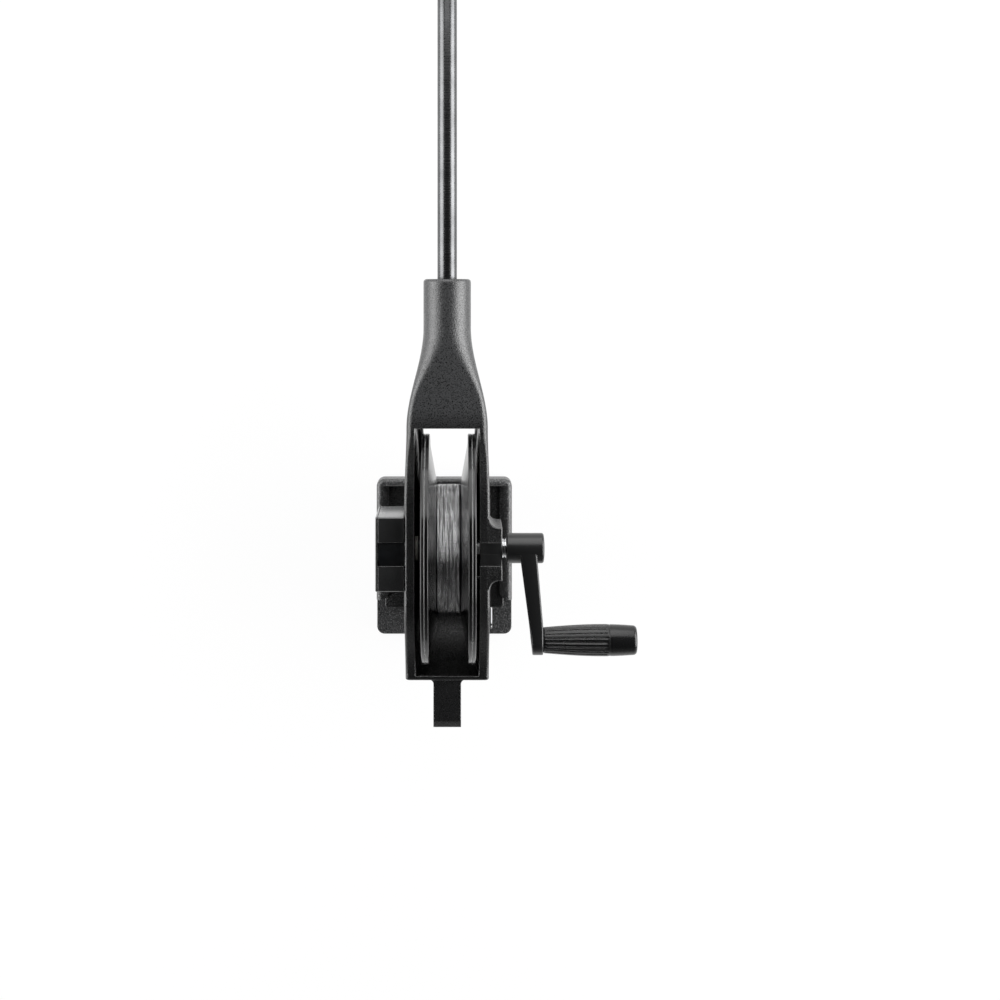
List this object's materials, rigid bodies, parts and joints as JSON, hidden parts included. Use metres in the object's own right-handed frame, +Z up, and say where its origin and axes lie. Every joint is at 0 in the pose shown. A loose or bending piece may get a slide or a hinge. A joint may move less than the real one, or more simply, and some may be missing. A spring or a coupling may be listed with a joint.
{
  "type": "downrigger",
  "caption": "Manual downrigger: yoke frame with a wide wire-cable spool, clutch crank with grip, line counter and long boom with pulley head, on a railed deck base with a latch.",
  "frame": {"origin": "centre of the mounting base's underside, where it rests on the deck", "axes": "+X to the crank side, +Y forward along the boom, +Z up"},
  "size_m": [0.2603, 0.8706, 0.2495],
  "materials": {
    "filled_nylon": "moulded black glass-filled nylon with a fine sparkle",
    "smooth_nylon": "smooth satin dark grey nylon",
    "gloss_black": "glossy black moulded plastic",
    "tube_steel": "polished stainless tube",
    "bright_steel": "bright turned stainless steel",
    "cable_steel": "stranded stainless cable",
    "grip_rubber": "satin dark grey moulded grip",
    "friction_fibre": "dry brown friction fibre",
    "acetal": "natural white acetal",
    "digit_black": "black number wheels with plain white digits",
    "lens_smoke": "smoked clear plastic",
    "bronze": "plain machined bronze"
  },
  "bodies": {
    "frame": {"mount_base": "filled_nylon", "latch_pin": "bright_steel", "latch_spring": "bright_steel", "main_frame": "filled_nylon", "boom_tube": "tube_steel", "boom_screw": "bright_steel", "bearing_block": "smooth_nylon", "shaft_bush": "acetal", "thrust_washer": "bright_steel", "pawl_pin": "bright_steel", "pawl_spring": "bright_steel", "counter_housing": "smooth_nylon", "counter_cover": "smooth_nylon", "counter_lens": "lens_smoke", "wheel_axle": "bright_steel", "idler_pin": "bright_steel", "cover_screw_1": "bright_steel", "cover_screw_2": "bright_steel", "cover_screw_3": "bright_steel", "cover_screw_4": "bright_steel", "housing_bolt_1": "bright_steel", "housing_bolt_2": "bright_steel"},
    "latch": {"latch_lever": "smooth_nylon"},
    "spool": {"spool_drum": "gloss_black", "spool_shaft": "bright_steel", "drive_pin": "bright_steel", "cable_core": "cable_steel", "cable_outer_layer": "cable_steel", "inner_friction_pad": "friction_fibre", "ratchet_wheel": "bright_steel", "drive_pinion": "bronze"},
    "crank": {"outer_friction_pad": "friction_fibre", "pressure_plate": "bright_steel", "thrust_sleeve": "bright_steel", "crank_arm": "smooth_nylon", "grip_spindle": "bright_steel"},
    "grip": {"crank_grip": "grip_rubber", "grip_cap": "grip_rubber"},
    "pawl": {"pawl": "bright_steel"},
    "idler": {"counter_idler": "acetal"},
    "units": {"units_wheel": "digit_black"},
    "tens": {"tens_wheel": "digit_black"},
    "hundreds": {"hundreds_wheel": "digit_black"},
    "boom_head": {"boom_head": "filled_nylon", "head_screw": "bright_steel", "pulley_bush": "acetal", "pulley_bolt": "bright_steel", "pulley_nut": "bright_steel"},
    "pulley": {"pulley_wheel": "smooth_nylon"}
  },
  "joints": [
    {"name": "latch_hinge", "type": "hinge", "parent": "frame", "child": "latch", "pos_m": [0, -0.0732, 0.005], "axis": [-1, 0, 0], "range_deg": [0, 12], "stiffness_Nm_per_rad": 0.15, "springref_deg": -17.19},
    {"name": "spool_spin", "type": "hinge", "parent": "frame", "child": "spool", "pos_m": [0.0036, 0.0272, 0.136], "axis": [1, 0, 0], "continuous": true},
    {"name": "clutch_back_off", "type": "hinge", "parent": "spool", "child": "crank", "pos_m": [0.0036, 0.0272, 0.136], "axis": [1, 0, 0], "range_deg": [-60, 0]},
    {"name": "grip_spin", "type": "hinge", "parent": "crank", "child": "grip", "pos_m": [0.1336, -0.063, 0.136], "axis": [1, 0, 0], "continuous": true},
    {"name": "pawl_pivot", "type": "hinge", "parent": "frame", "child": "pawl", "pos_m": [0.0036, 0.00316, 0.16465], "axis": [1, 0, 0], "range_deg": [0, 6]},
    {"name": "idler_spin", "type": "hinge", "parent": "frame", "child": "idler", "pos_m": [0.0036, 0.01511, 0.15193], "axis": [1, 0, 0], "continuous": true},
    {"name": "units_spin", "type": "hinge", "parent": "frame", "child": "units", "pos_m": [0.0036, 0.0272, 0.159], "axis": [1, 0, 0], "continuous": true},
    {"name": "tens_spin", "type": "hinge", "parent": "frame", "child": "tens", "pos_m": [0.0036, 0.0272, 0.159], "axis": [1, 0, 0], "continuous": true},
    {"name": "hundreds_spin", "type": "hinge", "parent": "frame", "child": "hundreds", "pos_m": [0.0036, 0.0272, 0.159], "axis": [1, 0, 0], "continuous": true},
    {"name": "head_swivel", "type": "hinge", "parent": "frame", "child": "boom_head", "pos_m": [0.0036, 0.658, 0.144], "axis": [0, 1, 0], "range_deg": [-90, 90]},
    {"name": "pulley_spin", "type": "hinge", "parent": "boom_head", "child": "pulley", "pos_m": [0.0036, 0.698, 0.153], "axis": [1, 0, 0], "continuous": true}
  ],
  "couplings": [
    {"joint": "idler_spin", "follows": "spool_spin", "ratio": -0.25},
    {"joint": "units_spin", "follows": "spool_spin", "ratio": 0.1},
    {"joint": "tens_spin", "follows": "spool_spin", "ratio": 0.01},
    {"joint": "hundreds_spin", "follows": "spool_spin", "ratio": 0.001}
  ]
}
